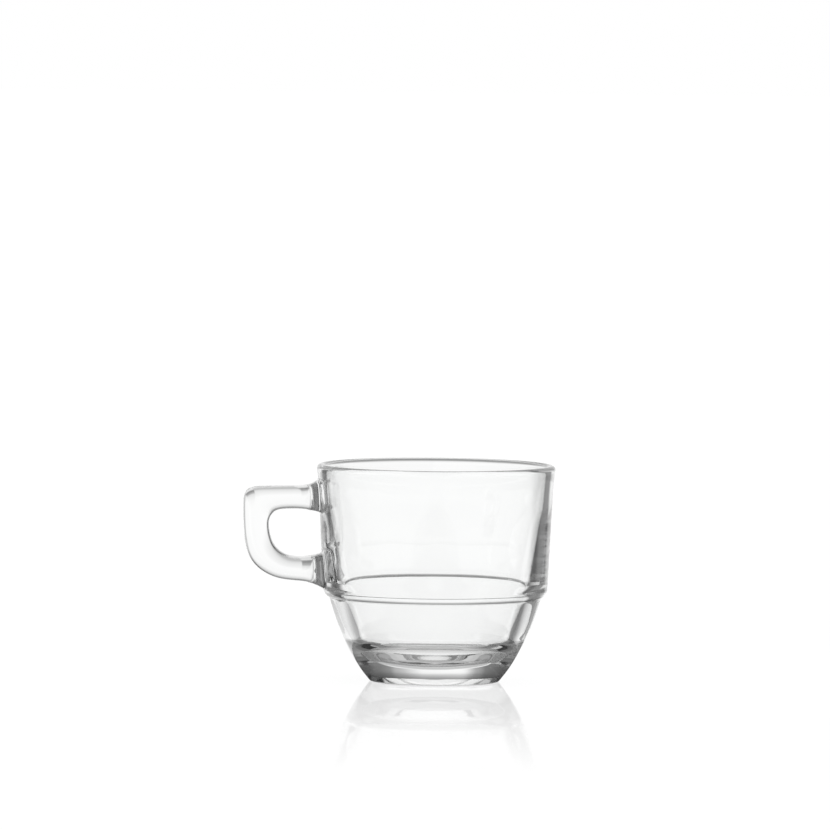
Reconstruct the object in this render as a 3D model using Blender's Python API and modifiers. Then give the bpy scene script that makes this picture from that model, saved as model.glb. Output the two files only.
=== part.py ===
"""Stackable espresso glass: a pressed glass vessel and its D-shaped handle.

Metres, +Z up. The origin is on the vessel's axis, in the plane it stands on.
The handle points along -X.
"""

import math

import bmesh
import bpy

# Vessel, outside.
HEIGHT = 0.0582
RIM_RADIUS = 0.0320
RIM_WALL = 0.0025
RIM_BAND = 0.0062  # the rim widens over this height
RIM_FLARE = 0.00035
WALL_SLOPE = math.radians(2.75)
LEDGE_HEIGHT = 0.0223
LEDGE_STEP = 0.0017  # from the wall in to the lower bowl
LEDGE_ANGLE = math.radians(50)  # from the vertical
SHOULDER_ROUND = 0.0030
LEDGE_FILLET = 0.0020
BOWL_BULGE = 0.0013  # of the lower bowl's arc, from its chord
FOOT_RADIUS = 0.0167
HEEL_ROUND = 0.0010
HEEL_ANGLE = math.radians(50)
PUNT_RADIUS = 0.0134
PUNT_DEPTH = 0.0016

# Vessel, inside.
BEND_HEIGHT = 0.0455  # the wall starts to thicken below this height
BEND_WALL = 0.0024
WALL_BULGE = 0.00027  # of the thickening wall, from its chord
SHOULDER_HEIGHT = 0.0263
SHOULDER_WALL = 0.0044
INNER_BULGE = 0.00025
CORNER_RADIUS = 0.0207  # where the floor's rounding ends
CORNER_HEIGHT = 0.0140
CORNER_BULGE = 0.0011
FLOOR_RADIUS = 0.0128  # of the dished middle of the floor
FLOOR_HEIGHT = 0.0084
FLOOR_DISH = 0.0012

# Handle.
HANDLE_DROP = 0.00615  # from the rim to the top of the handle
HANDLE_DEPTH = 0.0086
HANDLE_EDGE = 0.0023
FINGER_WIDTH = 0.01385
FINGER_HEIGHT = 0.0130
TOP_BAR = 0.0060
GRIP_BAR = 0.0069
LOW_BAR = 0.0066
LOW_BAR_FALL = 0.0010  # the grip's foot is this much higher than the lower root
GRIP_LEAN = 0.0012  # and this much nearer to the wall than its head
HEAD_ROUND = 0.0030
FOOT_ROUND = 0.0112
FINGER_HEAD_ROUND = 0.0027
FINGER_FOOT_ROUND = 0.0076
UPPER_ROOT_ROUND = 0.0025
LOWER_ROOT_ROUND = 0.0018
FINGER_ROOT_ROUND = 0.0013

JOINT_GAP = 0.0003  # between the handle's roots and the wall

LIP_HEIGHT = HEIGHT - RIM_WALL / 2  # the rim is half round above this

TURN_STEPS = 64
GLASS_COLOUR = (0.94, 0.955, 0.95, 1.0)
GLASS_ROUGHNESS = 0.02
GLASS_IOR = 1.52


def arc(centre, radius, start, end, steps):
    """Points on a circle from angle start to end, both included."""
    return [
        (
            centre[0] + radius * math.cos(start + (end - start) * i / steps),
            centre[1] + radius * math.sin(start + (end - start) * i / steps),
        )
        for i in range(steps + 1)
    ]


def bowed(a, b, bulge, steps):
    """Points on the circular arc from a to b that stands bulge to the left of its chord."""
    chord = math.dist(a, b)
    left = math.atan2(b[1] - a[1], b[0] - a[0]) + math.pi / 2
    half = 2 * math.atan(2 * bulge / chord)
    radius = chord / 2 / math.sin(half)
    centre = (
        (a[0] + b[0]) / 2 - (radius - bulge) * math.cos(left),
        (a[1] + b[1]) / 2 - (radius - bulge) * math.sin(left),
    )
    return arc(centre, radius, left + half, left - half, steps)


def wall_radius(z):
    """The outer wall's radius at height z: a straight taper that widens at the lip."""
    straight = RIM_RADIUS - RIM_FLARE - (LIP_HEIGHT - z) * math.tan(WALL_SLOPE)
    band = max(0.0, (z - LIP_HEIGHT + RIM_BAND) / RIM_BAND)
    return straight + RIM_FLARE * band**2


def turn(before, corner, after, radius, steps=6):
    """The arc that rounds off a corner between two straight runs."""
    ends = []
    for other in (before, after):
        length = math.dist(other, corner)
        ends.append([(o - c) / length for o, c in zip(other, corner)])
    half = math.acos(ends[0][0] * ends[1][0] + ends[0][1] * ends[1][1]) / 2
    middle = [a + b for a, b in zip(*ends)]
    reach = radius / math.sin(half) / math.hypot(*middle)
    centre = [c + m * reach for c, m in zip(corner, middle)]
    tangent = radius / math.tan(half)
    start, end = (
        math.atan2(corner[1] + e[1] * tangent - centre[1], corner[0] + e[0] * tangent - centre[0])
        for e in ends
    )
    sweep = (end - start + math.pi) % (2 * math.pi) - math.pi
    return arc(centre, radius, start, start + sweep, steps)


def outer_profile(clearance=0.0):
    """The outside from under the rim down to the foot ring, grown by clearance."""
    bowl_top = (wall_radius(LEDGE_HEIGHT) - LEDGE_STEP, LEDGE_HEIGHT)
    ledge_width = LEDGE_STEP - SHOULDER_ROUND * (1 - math.cos(LEDGE_ANGLE))
    shoulder_height = (
        LEDGE_HEIGHT
        + ledge_width / math.tan(LEDGE_ANGLE)
        + SHOULDER_ROUND * math.sin(LEDGE_ANGLE)
    )
    shoulder = (wall_radius(shoulder_height) - SHOULDER_ROUND, shoulder_height)
    heel = (FOOT_RADIUS, HEEL_ROUND)
    heel_arc = arc(heel, HEEL_ROUND, HEEL_ANGLE - math.pi / 2, -math.pi / 2, 4)
    bowl = bowed(bowl_top, heel_arc[0], BOWL_BULGE, 9)
    heights = [LIP_HEIGHT - RIM_BAND * i / 4 for i in range(5)]
    points = [(wall_radius(z), z) for z in heights]
    points += arc(shoulder, SHOULDER_ROUND, 0.0, -LEDGE_ANGLE, 6)
    points += turn(points[-1], bowl_top, bowl[1], LEDGE_FILLET, 4)
    points += bowl[1:] + heel_arc[1:]
    return [(r + clearance, z) for r, z in points]


def inner_profile():
    """The inside from the middle of the floor up to just under the rim."""
    bend = (wall_radius(BEND_HEIGHT) - BEND_WALL, BEND_HEIGHT)
    shoulder = (wall_radius(SHOULDER_HEIGHT) - SHOULDER_WALL, SHOULDER_HEIGHT)
    corner = (CORNER_RADIUS, CORNER_HEIGHT)
    shares = [i / 5 for i in range(6)]
    floor = [(FLOOR_RADIUS * s, FLOOR_HEIGHT - FLOOR_DISH * (1 - s**2)) for s in shares]
    points = floor + bowed(floor[-1], corner, -CORNER_BULGE, 8)[1:]
    points += bowed(corner, shoulder, -INNER_BULGE, 4)[1:]
    points += bowed(shoulder, bend, -WALL_BULGE, 4)[1:]
    return points


def rim_profile():
    """The rounded lip, from the inside over the top to the outside."""
    centre = (RIM_RADIUS - RIM_WALL / 2, LIP_HEIGHT)
    return arc(centre, RIM_WALL / 2, math.pi, 0.0, 8)


def punt_profile():
    """The hollow under the floor, from the foot ring in to the axis."""
    steps = 5
    return [
        (PUNT_RADIUS * (1 - i / steps), PUNT_DEPTH * (1 - (1 - i / steps) ** 2))
        for i in range(steps + 1)
    ]


def glass(name):
    material = bpy.data.materials.new(name)
    material.use_nodes = True
    shader = material.node_tree.nodes["Principled BSDF"]
    shader.inputs["Base Color"].default_value = GLASS_COLOUR
    shader.inputs["Roughness"].default_value = GLASS_ROUGHNESS
    shader.inputs["Metallic"].default_value = 0.0
    shader.inputs["IOR"].default_value = GLASS_IOR
    shader.inputs["Transmission Weight"].default_value = 1.0
    return material


def turned(name, profile, collection):
    """A solid of revolution from a profile that starts and ends on the axis."""
    mesh = bpy.data.meshes.new(name)
    edges = [(i, i + 1) for i in range(len(profile) - 1)]
    mesh.from_pydata([(r, 0.0, z) for r, z in profile], edges, [])
    solid = bpy.data.objects.new(name, mesh)
    collection.objects.link(solid)
    screw = solid.modifiers.new("turn", "SCREW")
    screw.steps = screw.render_steps = TURN_STEPS
    screw.use_merge_vertices = True
    screw.merge_threshold = 0.00001
    screw.use_smooth_shade = True
    return solid


def rounded(corners):
    """A closed outline through corners (x, y, radius), each turned by an arc."""
    points = []
    for i, (x, y, radius) in enumerate(corners):
        before, after = corners[i - 1], corners[(i + 1) % len(corners)]
        if radius == 0.0:
            points.append((x, y))
        else:
            points += turn(before[:2], (x, y), after[:2], radius)
    return points


def handle_outlines():
    """The slab's outer edge and its finger hole, both run into the wall."""
    top = HEIGHT - HANDLE_DROP
    finger_top = top - TOP_BAR
    finger_foot = finger_top - FINGER_HEIGHT
    foot = finger_foot - LOW_BAR
    finger_side = -wall_radius(finger_top) - FINGER_WIDTH
    side = finger_side - GRIP_BAR
    buried = -FOOT_RADIUS
    above = top + 2 * UPPER_ROOT_ROUND
    below = foot - 1.1 * LOWER_ROOT_ROUND
    outer = [
        (buried, above, 0.0),
        (-wall_radius(above), above, 0.0),
        (-wall_radius(top), top, UPPER_ROOT_ROUND),
        (side, top, HEAD_ROUND),
        (side + GRIP_LEAN, foot + LOW_BAR_FALL, FOOT_ROUND),
        (-wall_radius(foot), foot, LOWER_ROOT_ROUND),
        (-wall_radius(below), below, 0.0),
        (buried, below, 0.0),
    ]
    finger = [
        (-wall_radius(finger_top), finger_top, FINGER_ROOT_ROUND),
        (finger_side, finger_top, FINGER_HEAD_ROUND),
        (finger_side, finger_foot, FINGER_FOOT_ROUND),
        (-wall_radius(finger_foot), finger_foot, FINGER_ROOT_ROUND),
    ]
    return rounded(outer), rounded(finger)


def slab(name, outlines, collection):
    """A flat slab with rounded edges, standing in the XZ plane, as a mesh."""
    curve = bpy.data.curves.new(name, "CURVE")
    curve.dimensions = "2D"
    curve.fill_mode = "BOTH"
    curve.extrude = HANDLE_DEPTH / 2 - HANDLE_EDGE
    curve.bevel_depth = HANDLE_EDGE
    curve.bevel_resolution = 2
    curve.offset = -HANDLE_EDGE
    for outline in outlines:
        spline = curve.splines.new("POLY")
        spline.points.add(len(outline) - 1)
        spline.use_cyclic_u = True
        for point, (x, y) in zip(spline.points, outline):
            point.co = (x, y, 0.0, 1.0)
    flat = bpy.data.objects.new(name + "_outline", curve)
    flat.rotation_euler = (math.pi / 2, 0.0, 0.0)
    collection.objects.link(flat)
    bpy.context.view_layer.update()
    evaluated = flat.evaluated_get(bpy.context.evaluated_depsgraph_get())
    mesh = bpy.data.meshes.new_from_object(evaluated)
    welded = bmesh.new()
    welded.from_mesh(mesh)
    bmesh.ops.remove_doubles(welded, verts=welded.verts, dist=0.000001)
    welded.to_mesh(mesh)
    welded.free()
    solid = bpy.data.objects.new(name, mesh)
    solid.matrix_world = flat.matrix_world
    collection.objects.link(solid)
    bpy.data.objects.remove(flat)
    return solid


def make_vessel(collection):
    profile = inner_profile() + rim_profile() + outer_profile()[1:] + punt_profile()
    vessel = turned("vessel", profile, collection)
    vessel.data.materials.append(glass("vessel_glass"))
    return vessel


def make_handle(collection, cutters):
    """The slab, trimmed by the vessel's outside so that its roots follow the wall."""
    outside = outer_profile(JOINT_GAP)
    lid, floor = outside[0][1] + HANDLE_DROP, outside[-1][1]
    profile = [(0.0, lid), (outside[0][0], lid)] + outside + [(0.0, floor)]
    wall = turned("wall_cutter", profile, cutters)
    wall.hide_render = True
    wall.display_type = "WIRE"
    handle = slab("handle", handle_outlines(), collection)
    trim = handle.modifiers.new("trim", "BOOLEAN")
    trim.operation = "DIFFERENCE"
    trim.object = wall
    handle.data.shade_smooth()
    handle.data.set_sharp_from_angle(angle=math.radians(40))
    handle.data.materials.append(glass("handle_glass"))
    return handle


def main():
    for old in list(bpy.data.objects):
        bpy.data.objects.remove(old)
    parts = bpy.data.collections.new("espresso_glass")
    cutters = bpy.data.collections.new("espresso_glass_cutters")
    for collection in (parts, cutters):
        bpy.context.scene.collection.children.link(collection)
    make_vessel(parts)
    make_handle(parts, cutters)


main()
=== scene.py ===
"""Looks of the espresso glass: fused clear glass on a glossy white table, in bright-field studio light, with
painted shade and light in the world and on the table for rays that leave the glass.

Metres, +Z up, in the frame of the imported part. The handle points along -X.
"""

import math

import bmesh
import bpy
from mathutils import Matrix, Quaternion, Vector


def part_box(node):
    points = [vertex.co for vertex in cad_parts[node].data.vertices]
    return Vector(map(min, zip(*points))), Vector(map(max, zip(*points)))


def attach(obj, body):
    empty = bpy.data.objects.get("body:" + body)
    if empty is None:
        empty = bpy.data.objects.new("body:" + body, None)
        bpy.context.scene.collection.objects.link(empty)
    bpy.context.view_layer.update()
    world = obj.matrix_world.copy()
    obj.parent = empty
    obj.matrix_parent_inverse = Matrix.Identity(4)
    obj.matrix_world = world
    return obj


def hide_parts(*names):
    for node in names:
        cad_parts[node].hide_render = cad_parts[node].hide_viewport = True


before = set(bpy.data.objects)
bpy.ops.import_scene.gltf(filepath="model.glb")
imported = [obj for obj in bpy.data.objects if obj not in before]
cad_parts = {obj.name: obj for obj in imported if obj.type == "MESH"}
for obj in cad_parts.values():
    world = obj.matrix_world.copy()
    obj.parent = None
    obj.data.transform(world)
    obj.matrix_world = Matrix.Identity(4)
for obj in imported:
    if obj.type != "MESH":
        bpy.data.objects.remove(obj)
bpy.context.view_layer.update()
VESSEL_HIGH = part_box("vessel")[1]
HANDLE_LOW, HANDLE_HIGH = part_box("handle")

# Vessel, outside.
HEIGHT = VESSEL_HIGH.z
RIM_RADIUS = VESSEL_HIGH.x
RIM_WALL = 0.0025
RIM_BAND = 0.0062  # the rim widens over this height
RIM_FLARE = 0.00035
WALL_SLOPE = math.radians(2.75)
LEDGE_HEIGHT = 0.0225
LEDGE_STEP = 0.00164  # from the wall in to the lower bowl
LEDGE_ANGLE = math.radians(55)  # from the vertical
SHOULDER_ROUND = 0.0030
LEDGE_FILLET = 0.0008
BOWL_BULGE = 0.00052  # of the lower bowl's arc, from its chord
KNEE = (0.0220, 0.0068)  # the lower bowl turns in faster below this point
KNEE_BULGE = 0.0002
FOOT_RADIUS = 0.0167
HEEL_ROUND = 0.0010
HEEL_ANGLE = math.radians(50)
PUNT_RADIUS = 0.0134
PUNT_DEPTH = 0.0016

# Vessel, inside.
BEND_HEIGHT = 0.0455  # the wall starts to thicken below this height
BEND_WALL = 0.0024
SHOULDER_HEIGHT = 0.0263
SHOULDER_WALL = 0.00455
INNER_BULGE = 0.00025
CORNER_RADIUS = 0.0207  # where the floor's rounding ends
CORNER_HEIGHT = 0.0140
CORNER_BULGE = 0.0010
SLOPE_RADIUS = 0.0158  # where the slope round the floor's middle ends
SLOPE_HEIGHT = 0.0094
FLOOR_RADIUS = 0.0128  # of the dished middle of the floor
FLOOR_HEIGHT = 0.0084
FLOOR_DISH = 0.0010
LIP_HEIGHT = HEIGHT - RIM_WALL / 2  # the rim is half round above this

# The cage is a turned grid of columns, with two square windows where the handle is fused on.
COLUMNS = 64
WINDOW = 4  # faces along each side of a window
FIRST_COLUMN = COLUMNS // 2 - WINDOW // 2
UNDER_RIM = [0.0556, 0.0546]  # heights of the rows between the rim and the upper window
UPPER_WINDOW = (0.0539, 0.0453)  # top and foot of the upper root on the wall
LOWER_WINDOW = (0.0341, 0.0249)
CAGE_LEVELS = 2

# Rows of the cage, as shares of the run that they divide.
FLOOR_ROWS = (0.0, 0.25, 0.5, 0.73, 0.89, 0.97, 1.0)
SLOPE_ROWS = (0.12, 0.45)
WALL_ROWS = (0.25, 0.5, 0.75, 1.0)
LIP_ROWS = (0.3, 0.65, 0.88)
GRIP_ROWS = (0.06, 0.35, 0.65, 0.94)  # of the outer wall between the windows

# Handle, as (outer edge, inner edge) of its oval sections, from the upper root round to the lower one.
HANDLE_DEPTH = HANDLE_HIGH.y - HANDLE_LOW.y
OVAL_POWER = 4.5  # 2 is an ellipse, more is squarer
OVAL_SWELL = 1.026  # makes up for what smoothing takes off a section
HANDLE_SECTIONS = [
    ((-0.0333, 0.0526), (-0.0333, 0.0456)),
    ((-0.0360, 0.0522), (-0.0360, 0.0460)),
    ((-0.0400, 0.0521), (-0.0390, 0.0461)),
    ((-0.0450, 0.0520), (-0.0413, 0.0459)),
    ((-0.0488, 0.0519), (-0.0433, 0.0453)),
    ((-0.0511, 0.0510), (-0.0443, 0.0441)),
    ((-0.0517, 0.0483), (-0.0447, 0.0427)),
    ((-0.0516, 0.0440), (-0.0447, 0.0414)),
    ((-0.0514, 0.0395), (-0.0445, 0.0399)),
    ((-0.0509, 0.0360), (-0.0441, 0.0383)),
    ((-0.0499, 0.0330), (-0.0435, 0.0366)),
    ((-0.0478, 0.0301), (-0.0422, 0.0349)),
    ((-0.0434, 0.0274), (-0.0402, 0.0336)),
    ((-0.0392, 0.0268), (-0.0382, 0.0331)),
    ((-0.0360, 0.0266), (-0.0358, 0.0331)),
    ((-0.0333, 0.0263), (-0.0330, 0.0334)),
]

# Glass.
GLASS_TINT = (0.993, 0.997, 0.995, 1.0)
GLASS_IOR = 1.52
WAVES_PER_METRE = 110.0
WAVE_HEIGHT = 0.00002
WAVE_DETAIL = 1.0
SCUFF_HEIGHT = (0.00005, 0.00025)  # full scuffs up to the first height, none above the second
SCUFF_ROUGHNESS = 0.3

# Camera.
IMAGE_SIDE = 830
PIXELS_PER_METRE = 3734.0
BASE_PIXEL = (434.2, 681.3)
CAMERA_DISTANCE = 3.0
CAMERA_REACH = 100.0
CAMERA_RISE = math.radians(3.15)
CAMERA_ROLL = math.radians(0.55)
SENSOR = 36.0

# Rays in the glass, by how often they were turned back inside it.
FEW_TURNS = 2
SOME_TURNS = 4
MANY_TURNS = 8
WALL_SURFACES = 2  # a ray that goes straight through one wall crosses this many

# Studio as the glass shows it, as (degrees right of +Y, tone): painted shade, dark towards the sides where
# flags would stand, that draws the glass's dark edges and bands by how its rays went through it.
SEEN_OUTSIDE = [  # mirrored in the outside of the glass
    (-180, 1.0), (-72, 1.0), (-60, 0.2), (-36, 0.2), (-29, 1.0),
    (29, 1.0), (36, 0.2), (60, 0.2), (72, 1.0), (180, 1.0),
]
SEEN_BELOW = [  # mirrored in the outside, on the table by the foot
    (-180, 1.0), (-155, 1.0), (-130, 0.06), (130, 0.06), (155, 1.0), (180, 1.0),
]
SEEN_ONCE = [  # straight through one wall
    (-180, 1.0), (-64, 1.0), (-58, 0.6), (-53, 0.3), (-45, 0.15), (-38, 0.2), (-35, 0.4), (-32, 0.62),
    (-29, 0.76), (-26, 1.0), (15, 0.97), (22, 0.85), (27, 0.5), (31, 0.45), (36, 0.6), (42, 0.65),
    (50, 1.0), (180, 1.0),
]
SEEN_REFLECTED = [  # turned back, on the table beyond the bowl
    (-180, 1.0), (-66, 1.0), (-58, 0.9), (-52, 0.5), (-46, 0.15), (-36, 0.1), (-30, 0.1), (-27, 0.18),
    (-24, 0.5), (-20, 0.95), (-17, 1.0), (18, 1.0), (22.5, 0.7), (25, 0.4), (27, 0.28), (46, 0.21),
    (50, 0.13), (55, 0.05), (63, 0.05), (67, 0.5), (71, 0.9), (77, 1.0), (180, 1.0),
]
SEEN_SKY = [  # turned back, above the table
    (-180, 0.85), (-115, 0.6), (-90, 0.3), (-66, 0.12), (-50, 0.06), (-44, 0.09), (-36, 0.15),
    (-28, 0.22), (-25, 0.33), (-21, 0.42), (-18, 0.65), (-15, 0.95), (-12, 1.0), (6, 0.95), (9, 0.8),
    (11, 0.72), (14, 0.58), (17, 0.5), (20, 0.45), (23, 0.28), (27, 0.25), (31, 0.2), (36, 0.17),
    (42, 0.09), (50, 0.06), (66, 0.12), (90, 0.3), (115, 0.6), (180, 0.85),
]
SEEN_NEAR = [  # turned back, on the table by the foot
    (-180, 1.0), (-150, 0.95), (-120, 0.55), (-95, 0.45), (-84, 0.5), (-78, 0.4), (-74, 0.36),
    (-68, 0.42), (-61, 0.7), (-56, 0.9), (-50, 1.0), (50, 1.0), (54, 0.75), (59, 0.48), (64, 0.22),
    (70, 0.18), (75, 0.22), (79, 0.35), (84, 0.4), (95, 0.4), (120, 0.5), (150, 0.95), (180, 1.0),
]
SEEN_BOWL = [  # turned back, on the table round the bowl
    (-180, 1.0), (-84, 1.0), (-78, 0.4), (-74, 0.36), (-68, 0.42), (-61, 0.7), (-56, 0.9), (-50, 1.0),
    (42, 1.0), (46, 0.85), (50, 0.75), (54, 0.58), (59, 0.4), (64, 0.17), (70, 0.14), (75, 0.18),
    (79, 0.25), (84, 1.0), (180, 1.0),
]
SEEN_SIDES = [  # after more than a few turns
    (-180, 0.3), (-125, 0.22), (-90, 0.15), (-75, 0.02), (-58, 0.02), (-53, 0.6), (-40, 0.6),
    (-30, 0.55), (30, 0.55), (40, 0.6), (45, 0.6), (47, 0.02), (75, 0.02), (90, 0.15), (125, 0.22),
    (180, 0.3),
]
SEEN_DEEP = [  # after more than some turns
    (-180, 0.4), (-140, 0.35), (-110, 0.15), (-85, 0.15), (-65, 0.4),
    (65, 0.4), (85, 0.15), (110, 0.15), (140, 0.35), (180, 0.4),
]
# Painted light: a bright patch that only the glass shows, where a softbox would hang; no lamp stands there.
PAINTED_PATCH_ACROSS = [(-180, 0.0), (-60, 0.0), (-57, 1.0), (51, 1.0), (54, 0.0), (180, 0.0)]

# The same painted studio, as (degrees above the horizon, tone): painted shade above the bright band at the
# horizon.
BACKDROP = [(-90, 1.0), (7, 1.0), (11, 0.55), (17, 0.3), (35, 0.25), (90, 0.25)]
BACKDROP_ONCE = [
    (-90, 1.0), (5, 1.0), (8, 0.89), (10, 0.8), (13, 0.71), (17, 0.5), (22, 0.28), (40, 0.25), (90, 0.25),
]
BACKDROP_TURNED = [
    (-90, 1.0), (4, 1.0), (7, 0.88), (9, 0.68), (12, 0.56), (15, 0.45), (20, 0.33), (26, 0.3), (90, 0.3),
]
# Painted light: the height of the same bright patch.
PAINTED_PATCH_UP = [(-90, 0.0), (40.6, 0.0), (41.6, 1.0), (48.5, 1.0), (53, 0.0), (90, 0.0)]
SEEN_LOST = [  # after many turns
    (-90, 0.42), (9, 0.42), (18, 0.17), (30, 0.17), (40, 0.35), (90, 0.35),
]

# Table as the glass shows it, as (metres from the glass's axis, tone): painted shadow of the glass, darker
# under, beside, behind and before it.
TABLE_TURNED = [  # in line with the glass, in light that is turned back
    (0.0, 0.94), (0.010, 0.87), (0.014, 0.72), (0.018, 0.6), (0.025, 0.54), (0.06, 0.57), (0.2, 0.62),
    (0.4, 0.9), (0.6, 1.0),
]
TABLE_ONCE = [  # beside the glass, through one wall
    (0.0, 0.75), (0.03, 0.75), (0.06, 0.58), (0.085, 0.48), (0.105, 0.52), (0.15, 0.72), (0.2, 0.82),
    (0.3, 0.9), (0.45, 1.0),
]
TABLE_SHADE = [  # in line with the glass, through one wall
    (0.0, 0.7), (0.05, 0.79), (0.07, 0.8), (0.09, 0.55), (0.11, 0.28), (0.14, 0.23), (0.18, 0.37),
    (0.22, 0.45), (0.27, 0.75), (0.35, 0.86), (0.5, 0.95), (0.7, 1.0),
]
TABLE_UNDER = [(0.0, 0.45), (0.0155, 0.45), (0.0175, 1.0), (0.05, 1.0)]  # in the shade of the foot
TABLE_LOST = 0.16  # after many turns
STRIP_SIDE = -0.032  # bearings left of the glass are counted from here
# Painted light: the table is white on a strip right of the glass, for rays through the glass only.
STRIP = (0.048, 0.056)  # the table is white out to here on the right, and turns to its own tone
SHADE_WIDTH = (0.034, 0.037)  # half the table's shade behind and before the glass, from its full tone to none
UNDER_FOOT = 0.019
NEAR_FOOT = 0.04
NEAR_BOWL = 0.074

# Table as the camera sees it.
TABLE_SIDE = 12.0
TABLE_WHITE = 1.03  # fill and matt light together
TABLE_MATT = 0.10
TABLE_ROUGHNESS = 0.02
GLOSS_SHARE = 0.35  # at the foot
GLOSS_REACH = (0.015, 0.34)  # the gloss fades out between these distances from the glass's axis


def arc(centre, radius, start, end, steps):
    """Points on a circle from angle start to end, both included."""
    return [
        (
            centre[0] + radius * math.cos(start + (end - start) * i / steps),
            centre[1] + radius * math.sin(start + (end - start) * i / steps),
        )
        for i in range(steps + 1)
    ]


def bowed(a, b, bulge, steps):
    """Points on the circular arc from a to b that stands bulge to the left of its chord."""
    chord = math.dist(a, b)
    left = math.atan2(b[1] - a[1], b[0] - a[0]) + math.pi / 2
    half = 2 * math.atan(2 * bulge / chord)
    radius = chord / 2 / math.sin(half)
    centre = (
        (a[0] + b[0]) / 2 - (radius - bulge) * math.cos(left),
        (a[1] + b[1]) / 2 - (radius - bulge) * math.sin(left),
    )
    return arc(centre, radius, left + half, left - half, steps)


def wall_radius(z):
    """The outer wall's radius at height z: a straight taper that widens at the lip."""
    straight = RIM_RADIUS - RIM_FLARE - (LIP_HEIGHT - z) * math.tan(WALL_SLOPE)
    band = max(0.0, (z - LIP_HEIGHT + RIM_BAND) / RIM_BAND)
    return straight + RIM_FLARE * band**2


def between(a, b, share):
    """The point that lies a share of the way from a to b."""
    return tuple(p + (q - p) * share for p, q in zip(a, b))


def turn(before, corner, after, radius, steps):
    """The arc that rounds off a corner between two straight runs."""
    ends = []
    for other in (before, after):
        length = math.dist(other, corner)
        ends.append([(o - c) / length for o, c in zip(other, corner)])
    half = math.acos(ends[0][0] * ends[1][0] + ends[0][1] * ends[1][1]) / 2
    middle = [a + b for a, b in zip(*ends)]
    reach = radius / math.sin(half) / math.hypot(*middle)
    centre = [c + m * reach for c, m in zip(corner, middle)]
    tangent = radius / math.tan(half)
    first, last = (
        math.atan2(corner[1] + e[1] * tangent - centre[1], corner[0] + e[0] * tangent - centre[0])
        for e in ends
    )
    sweep = (last - first + math.pi) % (2 * math.pi) - math.pi
    return arc(centre, radius, first, first + sweep, steps)


def inner_profile():
    """The inside from the floor's middle up to just under the rim, with close rows at the floor's edge."""
    bend = (wall_radius(BEND_HEIGHT) - BEND_WALL, BEND_HEIGHT)
    shoulder = (wall_radius(SHOULDER_HEIGHT) - SHOULDER_WALL, SHOULDER_HEIGHT)
    lip = (RIM_RADIUS - RIM_WALL, LIP_HEIGHT)
    corner = (CORNER_RADIUS, CORNER_HEIGHT)
    slope = (SLOPE_RADIUS, SLOPE_HEIGHT)
    floor = [(FLOOR_RADIUS * s, FLOOR_HEIGHT - FLOOR_DISH * (1 - s**2)) for s in FLOOR_ROWS]
    points = floor + [between(floor[-1], slope, share) for share in SLOPE_ROWS]
    points += bowed(slope, corner, -CORNER_BULGE, 5)
    points += bowed(corner, shoulder, -INNER_BULGE, 5)[1:]
    points += [between(shoulder, bend, share) for share in WALL_ROWS]
    points += [between(bend, lip, share) for share in LIP_ROWS]
    return points


def rim_profile():
    """The rounded lip, from the inside over the top to the outside."""
    centre = (RIM_RADIUS - RIM_WALL / 2, LIP_HEIGHT)
    return arc(centre, RIM_WALL / 2, math.pi, 0.0, 8)


def wall_heights():
    """Rows of the outer wall below the rim, with both windows' edges among them."""
    upper, lower = (
        [top + (foot - top) * i / WINDOW for i in range(WINDOW + 1)]
        for top, foot in (UPPER_WINDOW, LOWER_WINDOW)
    )
    middle = [upper[-1] + (lower[0] - upper[-1]) * share for share in GRIP_ROWS]
    return UNDER_RIM + upper + middle + lower


def outer_profile():
    """The outside from under the rim down to the foot ring."""
    bowl_top = (wall_radius(LEDGE_HEIGHT) - LEDGE_STEP, LEDGE_HEIGHT)
    ledge_width = LEDGE_STEP - SHOULDER_ROUND * (1 - math.cos(LEDGE_ANGLE))
    shoulder_height = (
        LEDGE_HEIGHT
        + ledge_width / math.tan(LEDGE_ANGLE)
        + SHOULDER_ROUND * math.sin(LEDGE_ANGLE)
    )
    shoulder = (wall_radius(shoulder_height) - SHOULDER_ROUND, shoulder_height)
    heel = (FOOT_RADIUS, HEEL_ROUND)
    heel_arc = arc(heel, HEEL_ROUND, HEEL_ANGLE - math.pi / 2, -math.pi / 2, 4)
    bowl = bowed(bowl_top, KNEE, BOWL_BULGE, 7) + bowed(KNEE, heel_arc[0], KNEE_BULGE, 4)[1:]
    points = [(wall_radius(z), z) for z in wall_heights()]
    points += arc(shoulder, SHOULDER_ROUND, -LEDGE_ANGLE / 4, -LEDGE_ANGLE, 3)
    points += turn(points[-1], bowl_top, bowl[1], LEDGE_FILLET, 2)
    points += bowl[1:] + heel_arc[1:]
    return points


def punt_profile():
    """The hollow under the floor, from the foot ring in to the axis."""
    steps = 5
    ring = [((FOOT_RADIUS + PUNT_RADIUS) / 2, 0.0)]
    return ring + [
        (PUNT_RADIUS * (1 - i / steps), PUNT_DEPTH * (1 - (1 - i / steps) ** 2))
        for i in range(steps + 1)
    ]


def limit_swell(step):
    """How much a ring of cage points is widened so that its smooth limit has the wanted radius."""
    return 6 / (4 + 2 * math.cos(step))


def turned_cage(cage, profile):
    """The vertices of the turned vessel, as one row for each point of the profile."""
    step = 2 * math.pi / COLUMNS
    rows = []
    for radius, z in profile:
        if radius == 0.0:
            rows.append([cage.verts.new((0.0, 0.0, z))] * COLUMNS)
            continue
        reach = radius * limit_swell(step)
        angles = [step * column for column in range(COLUMNS)]
        rows.append([cage.verts.new((reach * math.cos(a), reach * math.sin(a), z)) for a in angles])
    return rows


def is_window(low, high, column):
    """True for a face of the outer wall, between two heights, that a handle root covers."""
    if not FIRST_COLUMN <= column < FIRST_COLUMN + WINDOW:
        return False
    middle = (low + high) / 2
    return any(foot < middle < top for top, foot in (UPPER_WINDOW, LOWER_WINDOW))


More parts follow.
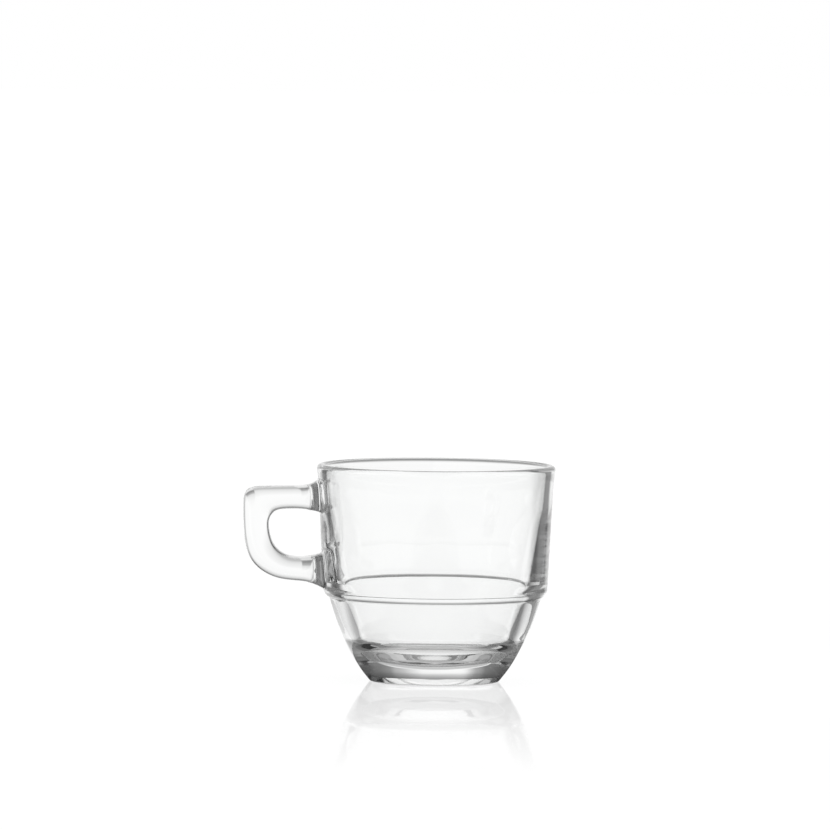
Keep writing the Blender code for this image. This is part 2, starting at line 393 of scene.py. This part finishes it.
def window_ring(rows, top_row, flipped):
    """The 16 wall vertices around a window: outer edge, near side, inner edge, far side."""
    columns = [FIRST_COLUMN + i for i in range(WINDOW + 1)]
    depth = [top_row + i for i in range(WINDOW + 1)]
    if flipped:
        depth.reverse()
    ring = [rows[depth[0]][c] for c in columns]
    ring += [rows[d][columns[-1]] for d in depth[1:-1]]
    ring += [rows[depth[-1]][c] for c in reversed(columns)]
    ring += [rows[d][columns[0]] for d in reversed(depth[1:-1])]
    return ring


def section_ring(cage, outer, inner):
    """The 16 vertices of one oval section of the handle, in the order of window_ring."""
    ring = []
    for k in range(4 * WINDOW):
        angle = math.pi / 4 + 2 * math.pi * k / (4 * WINDOW)
        across, along = (
            OVAL_SWELL * math.copysign(abs(share) ** (2 / OVAL_POWER), share)
            for share in (math.cos(angle), math.sin(angle))
        )
        x, z = ((o + i) / 2 + along * (o - i) / 2 for o, i in zip(outer, inner))
        ring.append(cage.verts.new((x, across * HANDLE_DEPTH / 2, z)))
    return ring


def fused_cage():
    """The whole glass as one coarse cage. Faces of the handle carry material index 1."""
    inner = inner_profile()
    rim = rim_profile()
    outer = outer_profile()
    profile = inner + rim + outer + punt_profile()
    first_outer = len(inner) + len(rim)
    outer_rows = range(first_outer, first_outer + len(outer))
    cage = bmesh.new()
    rows = turned_cage(cage, profile)
    for i in range(len(profile) - 1):
        for column in range(COLUMNS):
            after = (column + 1) % COLUMNS
            if i in outer_rows and is_window(profile[i + 1][1], profile[i][1], column):
                continue
            corners = [rows[i][column], rows[i][after], rows[i + 1][after], rows[i + 1][column]]
            cage.faces.new(list(dict.fromkeys(corners)))
    upper, lower = (
        min(outer_rows, key=lambda i: abs(profile[i][1] - top))
        for top, _ in (UPPER_WINDOW, LOWER_WINDOW)
    )
    rings = [window_ring(rows, upper, False)]
    rings += [section_ring(cage, *section) for section in HANDLE_SECTIONS]
    rings.append(window_ring(rows, lower, True))
    for near, far in zip(rings, rings[1:]):
        for k in range(len(near)):
            after = (k + 1) % len(near)
            face = cage.faces.new((near[k], near[after], far[after], far[k]))
            face.material_index = 1
    bmesh.ops.recalc_face_normals(cage, faces=cage.faces)
    return cage


def smooth_mesh(cage):
    """The cage's smooth surface as a mesh."""
    mesh = bpy.data.meshes.new("fused_cage")
    cage.to_mesh(mesh)
    cage.free()
    for material in ("vessel", "handle"):
        mesh.materials.append(bpy.data.materials.new(material + "_side"))
    holder = bpy.data.objects.new("fused_cage", mesh)
    bpy.context.scene.collection.objects.link(holder)
    smooth = holder.modifiers.new("smooth", "SUBSURF")
    smooth.levels = smooth.render_levels = CAGE_LEVELS
    bpy.context.view_layer.update()
    result = bpy.data.meshes.new_from_object(holder.evaluated_get(bpy.context.evaluated_depsgraph_get()))
    bpy.data.objects.remove(holder)
    return result


def joint_loops(faces):
    """The open edges of faces as closed loops of vertices, in the order that a cap over them needs."""
    sides = {(a, b) for face in faces for a, b in zip(face, face[1:] + face[:1])}
    onward = {b: a for a, b in sides if (b, a) not in sides}
    loops = []
    while onward:
        loop = [next(iter(onward))]
        while loop[-1] in onward:
            loop.append(onward.pop(loop[-1]))
        loops.append(loop[:-1])
    return loops


def cap(points, faces, loop):
    """Close a loop by two rings towards its middle. Adds to points and faces."""
    middle = sum((points[v] for v in loop), Vector()) / len(loop)
    rings = [loop]
    for share in (1 / 3, 2 / 3):
        rings.append(list(range(len(points), len(points) + len(loop))))
        points += [points[v].lerp(middle, share) for v in loop]
    points.append(middle)
    for k in range(len(loop)):
        after = (k + 1) % len(loop)
        faces += [[near[k], near[after], far[after], far[k]] for near, far in zip(rings, rings[1:])]
        faces.append([rings[-1][k], rings[-1][after], len(points) - 1])


def side_of(fused, index, name, material, joint):
    """The faces with one material index as a closed piece, with the fused surface's normals."""
    chosen = [list(f.vertices) for f in fused.polygons if f.material_index == index]
    used = sorted({v for face in chosen for v in face})
    place = {v: i for i, v in enumerate(used)}
    points = [fused.vertices[v].co.copy() for v in used]
    faces = [[place[v] for v in face] for face in chosen]
    glass_faces = len(faces)
    for loop in joint_loops(faces):
        cap(points, faces, loop)
    mesh = bpy.data.meshes.new(name)
    mesh.from_pydata(points, [], faces)
    mesh.materials.append(material)
    mesh.materials.append(joint)
    for polygon in mesh.polygons:
        polygon.material_index = 0 if polygon.index < glass_faces else 1
    mesh.shade_smooth()
    normals = [fused.vertices[v].normal for v in used]
    normals += [mesh.vertices[v].normal for v in range(len(used), len(points))]
    mesh.normals_split_custom_set_from_vertices(normals)
    piece = bpy.data.objects.new(name, mesh)
    bpy.context.scene.collection.objects.link(piece)
    return piece


def make_camera():
    """A long lens, at the photograph's viewing angle and framing."""
    data = bpy.data.cameras.new("camera")
    data.sensor_width = SENSOR
    data.lens = SENSOR * CAMERA_DISTANCE * PIXELS_PER_METRE / IMAGE_SIDE
    data.clip_end = CAMERA_REACH
    camera = bpy.data.objects.new("camera", data)
    bpy.context.scene.collection.objects.link(camera)
    right = (IMAGE_SIDE / 2 - BASE_PIXEL[0]) / PIXELS_PER_METRE
    up = (BASE_PIXEL[1] - IMAGE_SIDE / 2) / PIXELS_PER_METRE
    aim_x = right * math.cos(CAMERA_ROLL) - up * math.sin(CAMERA_ROLL)
    aim_up = right * math.sin(CAMERA_ROLL) + up * math.cos(CAMERA_ROLL)
    aim = Vector((aim_x, 0.0, aim_up / math.cos(CAMERA_RISE)))
    back = Vector((0.0, -math.cos(CAMERA_RISE), math.sin(CAMERA_RISE)))
    camera.location = aim + back * CAMERA_DISTANCE
    facing = (-back).to_track_quat("-Z", "Y") @ Quaternion((0.0, 0.0, 1.0), CAMERA_ROLL)
    camera.rotation_euler = facing.to_euler()
    bpy.context.scene.camera = camera


class Nodes:
    """Short calls for building a node tree."""

    def __init__(self, tree):
        self.tree = tree
        tree.nodes.clear()

    def add(self, kind, **settings):
        node = self.tree.nodes.new(kind)
        for name, value in settings.items():
            setattr(node, name, value)
        return node

    def link(self, source, target):
        self.tree.links.new(source, target)

    def put(self, target, value):
        if isinstance(value, bpy.types.NodeSocket):
            self.link(value, target)
        else:
            target.default_value = value

    def math(self, operation, *values):
        node = self.add("ShaderNodeMath", operation=operation)
        for target, value in zip(node.inputs, values):
            self.put(target, value)
        return node.outputs[0]

    def split(self, vector):
        """The X, Y and Z of a vector."""
        node = self.add("ShaderNodeSeparateXYZ")
        self.link(vector, node.inputs[0])
        return node.outputs

    def path(self, name):
        """What is known of a ray's way so far."""
        return self.add("ShaderNodeLightPath").outputs[name]

    def mix(self, share, a, b):
        """a where share is 0, b where it is 1."""
        node = self.add("ShaderNodeMix")
        for target, value in zip(node.inputs, (share, None, a, b)):
            if value is not None:
                self.put(target, value)
        return node.outputs[0]

    def ramp(self, value, stops):
        """A grey ramp through (position, tone) stops."""
        node = self.add("ShaderNodeValToRGB")
        elements = node.color_ramp.elements
        while len(elements) < len(stops):
            elements.new(1.0)
        for element, (position, tone) in zip(elements, stops):
            element.position = position
            element.color = (tone, tone, tone, 1.0)
        self.link(value, node.inputs[0])
        return node.outputs[0]

    def fade(self, value, ends, tones, kind="SMOOTHSTEP"):
        """The first tone where value is under the first end, and the second where it is past the second."""
        node = self.add("ShaderNodeMapRange", interpolation_type=kind)
        self.link(value, node.inputs["Value"])
        for name, number in zip(("From Min", "From Max", "To Min", "To Max"), (*ends, *tones)):
            node.inputs[name].default_value = number
        return node.outputs[0]

    def emission(self, tone):
        node = self.add("ShaderNodeEmission")
        self.put(node.inputs["Strength"], tone)
        return node.outputs[0]

    def mix_shader(self, share, a, b):
        node = self.add("ShaderNodeMixShader")
        self.put(node.inputs[0], share)
        self.link(a, node.inputs[1])
        self.link(b, node.inputs[2])
        return node.outputs[0]

    def add_shader(self, a, b):
        node = self.add("ShaderNodeAddShader")
        self.link(a, node.inputs[0])
        self.link(b, node.inputs[1])
        return node.outputs[0]


def clear_glass(name):
    """Clear pressed glass: faintly wavy all over, and scuffed where the foot ring stands."""
    material = bpy.data.materials.new(name)
    material.use_nodes = True
    nodes = Nodes(material.node_tree)
    place = nodes.add("ShaderNodeTexCoord").outputs["Object"]
    waves = nodes.add("ShaderNodeTexNoise")
    nodes.link(place, waves.inputs["Vector"])
    waves.inputs["Scale"].default_value = WAVES_PER_METRE
    waves.inputs["Detail"].default_value = WAVE_DETAIL
    bump = nodes.add("ShaderNodeBump")
    nodes.link(waves.outputs[0], bump.inputs["Height"])
    bump.inputs["Distance"].default_value = WAVE_HEIGHT
    scuff = nodes.fade(nodes.split(place)["Z"], SCUFF_HEIGHT, (SCUFF_ROUGHNESS, 0.0), "LINEAR")
    shader = nodes.add("ShaderNodeBsdfPrincipled")
    shader.inputs["Base Color"].default_value = GLASS_TINT
    shader.inputs["IOR"].default_value = GLASS_IOR
    shader.inputs["Transmission Weight"].default_value = 1.0
    nodes.link(scuff, shader.inputs["Roughness"])
    nodes.link(bump.outputs[0], shader.inputs["Normal"])
    nodes.link(shader.outputs[0], nodes.add("ShaderNodeOutputMaterial").inputs["Surface"])
    return material


def fused_joint(name):
    """The joint inside the glass, where nothing shows."""
    material = bpy.data.materials.new(name)
    material.use_nodes = True
    material.node_tree.nodes["Principled BSDF"].inputs["Alpha"].default_value = 0.0
    return material


def glass_ray(nodes):
    """1 for rays that leave the glass or a gloss, 0 for others."""
    return nodes.math("MAXIMUM", nodes.path("Is Glossy Ray"), nodes.path("Is Transmission Ray"))


def is_outside(nodes):
    """1 for rays that never entered the glass, 0 for others."""
    return nodes.math("LESS_THAN", nodes.path("Transmission Depth"), 0.5)


def passed_once(nodes):
    """1 for rays that went straight through one wall of glass, such as the handle's or the far rim's."""
    straight = nodes.math("LESS_THAN", nodes.path("Glossy Depth"), 0.5)
    one_wall = nodes.math("LESS_THAN", nodes.path("Transmission Depth"), WALL_SURFACES + 0.5)
    return nodes.math("MULTIPLY", straight, one_wall)


def turned_over(nodes, turns):
    """1 for rays that were turned back inside the glass more often than turns, 0 for others."""
    return nodes.math("GREATER_THAN", nodes.path("Glossy Depth"), turns + 0.5)


def bearing_of(nodes, vector):
    """Degrees right of +Y."""
    parts = nodes.split(vector)
    return nodes.math("DEGREES", nodes.math("ARCTAN2", parts["X"], parts["Y"]))


def by_bearing(nodes, bearing, stops):
    """A tone that changes with the bearing in degrees right of +Y, as a ramp over the full circle."""
    share = nodes.math("MULTIPLY_ADD", bearing, 1 / 360, 0.5)
    return nodes.ramp(share, [((degrees + 180) / 360, tone) for degrees, tone in stops])


def by_height(nodes, vector, stops):
    """A tone that changes with the elevation in degrees, as a ramp from -90 to 90."""
    degrees = nodes.math("DEGREES", nodes.math("ARCSINE", nodes.split(vector)["Z"]))
    share = nodes.math("MULTIPLY_ADD", degrees, 1 / 180, 0.5)
    return nodes.ramp(share, [((height + 90) / 180, tone) for height, tone in stops])


def by_reach(nodes, reach, stops):
    """A tone that changes with the distance from the glass's axis in metres."""
    last = stops[-1][0]
    share = nodes.math("MULTIPLY", reach, 1 / last)
    return nodes.ramp(share, [(metres / last, tone) for metres, tone in stops])


def deep_tone(nodes, bearing, lost):
    """Painted shade of the studio for rays of more than a few turns: by bearing, or lost after many."""
    some = by_bearing(nodes, bearing, SEEN_SIDES)
    more = by_bearing(nodes, bearing, SEEN_DEEP)
    deep = nodes.mix(turned_over(nodes, SOME_TURNS), some, more)
    return nodes.mix(turned_over(nodes, MANY_TURNS), deep, lost)


def studio_tone(nodes, bearing):
    """Painted shade of the studio through the glass, towards a bearing, by how the ray went through the
    glass.
    """
    through = nodes.mix(passed_once(nodes), 1.0, by_bearing(nodes, bearing, SEEN_ONCE))
    return nodes.mix(turned_over(nodes, 0), through, by_bearing(nodes, bearing, SEEN_SKY))


def backdrop_fade(nodes, vector):
    """Painted shade: how the studio that the glass shows darkens above its bright band at the horizon,
    straight, through one wall and turned back.
    """
    straight = by_height(nodes, vector, BACKDROP)
    fade = nodes.mix(passed_once(nodes), straight, by_height(nodes, vector, BACKDROP_ONCE))
    return nodes.mix(turned_over(nodes, 0), fade, by_height(nodes, vector, BACKDROP_TURNED))


def sky_tone(nodes, vector):
    """The studio above the table as the glass shows it: painted shade above the horizon, and a painted bright
    patch over it where a softbox would hang.
    """
    bearing = bearing_of(nodes, vector)
    backdrop = nodes.math("MULTIPLY", studio_tone(nodes, bearing), backdrop_fade(nodes, vector))
    painted_patch_across = by_bearing(nodes, bearing, PAINTED_PATCH_ACROSS)
    painted_patch = nodes.math("MULTIPLY", painted_patch_across, by_height(nodes, vector, PAINTED_PATCH_UP))
    lit = nodes.math("MAXIMUM", backdrop, painted_patch)
    deep = deep_tone(nodes, bearing, by_height(nodes, vector, SEEN_LOST))
    through = nodes.mix(turned_over(nodes, FEW_TURNS), lit, deep)
    return nodes.math("MAXIMUM", is_outside(nodes), through)


def make_world():
    """A white studio for the camera and for light, which the glass sees with painted shade at its sides and a
    painted bright patch above.
    """
    world = bpy.data.worlds.new("studio")
    world.use_nodes = True
    nodes = Nodes(world.node_tree)
    place = nodes.add("ShaderNodeTexCoord")
    tone = nodes.mix(glass_ray(nodes), 1.0, sky_tone(nodes, place.outputs["Generated"]))
    light = nodes.add("ShaderNodeBackground")
    light.inputs["Color"].default_value = (1.0, 1.0, 1.0, 1.0)
    nodes.link(tone, light.inputs["Strength"])
    output = nodes.add("ShaderNodeOutputWorld")
    nodes.link(light.outputs[0], output.inputs["Surface"])
    bpy.context.scene.world = world


def past_foot(nodes, position):
    """A place on the table, with its x counted from the side of the strip that the glass stands on."""
    parts = nodes.split(position)
    inside = nodes.math("MAXIMUM", nodes.math("MINIMUM", parts["X"], 0.0), STRIP_SIDE)
    whole = nodes.add("ShaderNodeCombineXYZ")
    nodes.link(nodes.math("SUBTRACT", parts["X"], inside), whole.inputs["X"])
    nodes.link(parts["Y"], whole.inputs["Y"])
    return whole.outputs[0]


def off_foot(nodes, position):
    """0 on the strip of table behind and before the glass, as wide as the glass, where its painted shade
    falls, and 1 beside it.
    """
    return nodes.fade(nodes.math("ABSOLUTE", nodes.split(position)["X"]), SHADE_WIDTH, (0.0, 1.0))


def white_strip(nodes, position):
    """Painted light: 1 on the strip of table right of the glass, 0 beyond it and left of the glass."""
    across = nodes.split(position)["X"]
    right = nodes.math("GREATER_THAN", across, 0.0)
    return nodes.math("MULTIPLY", nodes.fade(across, STRIP, (1.0, 0.0)), right)


def table_once(nodes, position, reach, bearing):
    """The table through one wall: painted shade behind and before the glass, and painted light on the strip
    right of it.
    """
    tone = nodes.math("MAXIMUM", by_bearing(nodes, bearing, SEEN_ONCE), white_strip(nodes, position))
    behind = by_reach(nodes, reach, TABLE_SHADE)
    beside = by_reach(nodes, reach, TABLE_ONCE)
    return nodes.math("MULTIPLY", tone, nodes.mix(off_foot(nodes, position), behind, beside))


def table_turned(nodes, position, reach, bearing):
    """The table in light that the glass turns back, with painted shade: by its bearing, near the foot, the
    bowl and beyond, and in line with the glass.
    """
    around = bearing_of(nodes, position)
    by_foot = nodes.math("LESS_THAN", reach, NEAR_FOOT)
    near = nodes.mix(by_foot, by_bearing(nodes, around, SEEN_BOWL), by_bearing(nodes, around, SEEN_NEAR))
    near = nodes.mix(nodes.math("LESS_THAN", reach, UNDER_FOOT), near, 1.0)
    by_bowl = nodes.math("LESS_THAN", reach, NEAR_BOWL)
    tone = nodes.mix(by_bowl, by_bearing(nodes, bearing, SEEN_REFLECTED), near)
    shade = nodes.mix(off_foot(nodes, position), by_reach(nodes, reach, TABLE_TURNED), 1.0)
    return nodes.math("MULTIPLY", tone, shade)


def table_surface(nodes, reach, around, bearing):
    """The table as the outside of the glass mirrors it: painted shade by the lower bowl, and darker beyond
    where flags would stand.
    """
    below = nodes.math("LESS_THAN", reach, NEAR_FOOT)
    return nodes.mix(below, by_bearing(nodes, bearing, SEEN_OUTSIDE), by_bearing(nodes, around, SEEN_BELOW))


def table_tone(nodes, position, reach):
    """How bright the table looks through the glass, and on its surface: painted tones, with painted shade
    under and round the foot.
    """
    bearing = bearing_of(nodes, past_foot(nodes, position))
    around = bearing_of(nodes, position)
    under = by_reach(nodes, reach, TABLE_UNDER)
    straight = nodes.mix(passed_once(nodes), under, table_once(nodes, position, reach, bearing))
    lit = nodes.mix(turned_over(nodes, 0), straight, table_turned(nodes, position, reach, bearing))
    through = nodes.mix(turned_over(nodes, FEW_TURNS), lit, deep_tone(nodes, around, TABLE_LOST))
    return nodes.mix(is_outside(nodes), through, table_surface(nodes, reach, around, bearing))


def table_top(nodes, reach):
    """The table as the camera sees it: white, and glossy round the foot."""
    matt = nodes.add("ShaderNodeBsdfDiffuse")
    matt.inputs["Color"].default_value = (TABLE_MATT, TABLE_MATT, TABLE_MATT, 1.0)
    gloss = nodes.add("ShaderNodeBsdfAnisotropic")
    gloss.inputs["Color"].default_value = (1.0, 1.0, 1.0, 1.0)
    gloss.inputs["Roughness"].default_value = TABLE_ROUGHNESS
    plain = nodes.add_shader(matt.outputs[0], nodes.emission(TABLE_WHITE - TABLE_MATT))
    return nodes.mix_shader(nodes.fade(reach, GLOSS_REACH, (GLOSS_SHARE, 0.0)), plain, gloss.outputs[0])


def table_gloss():
    """White table top: lit as it is for the camera, and glowing with painted shade and light as part of the
    studio for the glass.
    """
    material = bpy.data.materials.new("table_gloss")
    material.use_nodes = True
    nodes = Nodes(material.node_tree)
    position = nodes.add("ShaderNodeNewGeometry").outputs["Position"]
    length = nodes.add("ShaderNodeVectorMath", operation="LENGTH")
    nodes.link(position, length.inputs[0])
    reach = length.outputs["Value"]
    for_glass = nodes.emission(table_tone(nodes, position, reach))
    for_camera = table_top(nodes, reach)
    output = nodes.add("ShaderNodeOutputMaterial")
    nodes.link(nodes.mix_shader(glass_ray(nodes), for_camera, for_glass), output.inputs["Surface"])
    return material


def make_table():
    """A large square table top at the height of the foot."""
    half = TABLE_SIDE / 2
    mesh = bpy.data.meshes.new("table")
    corners = [(-half, -half, 0.0), (half, -half, 0.0), (half, half, 0.0), (-half, half, 0.0)]
    mesh.from_pydata(corners, [], [(0, 1, 2, 3)])
    mesh.materials.append(table_gloss())
    table = bpy.data.objects.new("table", mesh)
    bpy.context.scene.collection.objects.link(table)


def make_stage():
    """The studio and the table, with enough bounces for rays that stay long in the glass."""
    make_world()
    make_table()
    cycles = bpy.context.scene.cycles
    cycles.max_bounces = 64
    cycles.glossy_bounces = 48
    cycles.transmission_bounces = 32
    cycles.transparent_max_bounces = 24


fused = smooth_mesh(fused_cage())
joint = fused_joint("clear_joint")
for index, part in enumerate(("vessel", "handle")):
    piece = side_of(fused, index, part + "_glass", clear_glass("clear_" + part), joint)
    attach(piece, "root")
    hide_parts(part)
make_camera()
make_stage()
bpy.context.scene.view_settings.view_transform = "Standard"
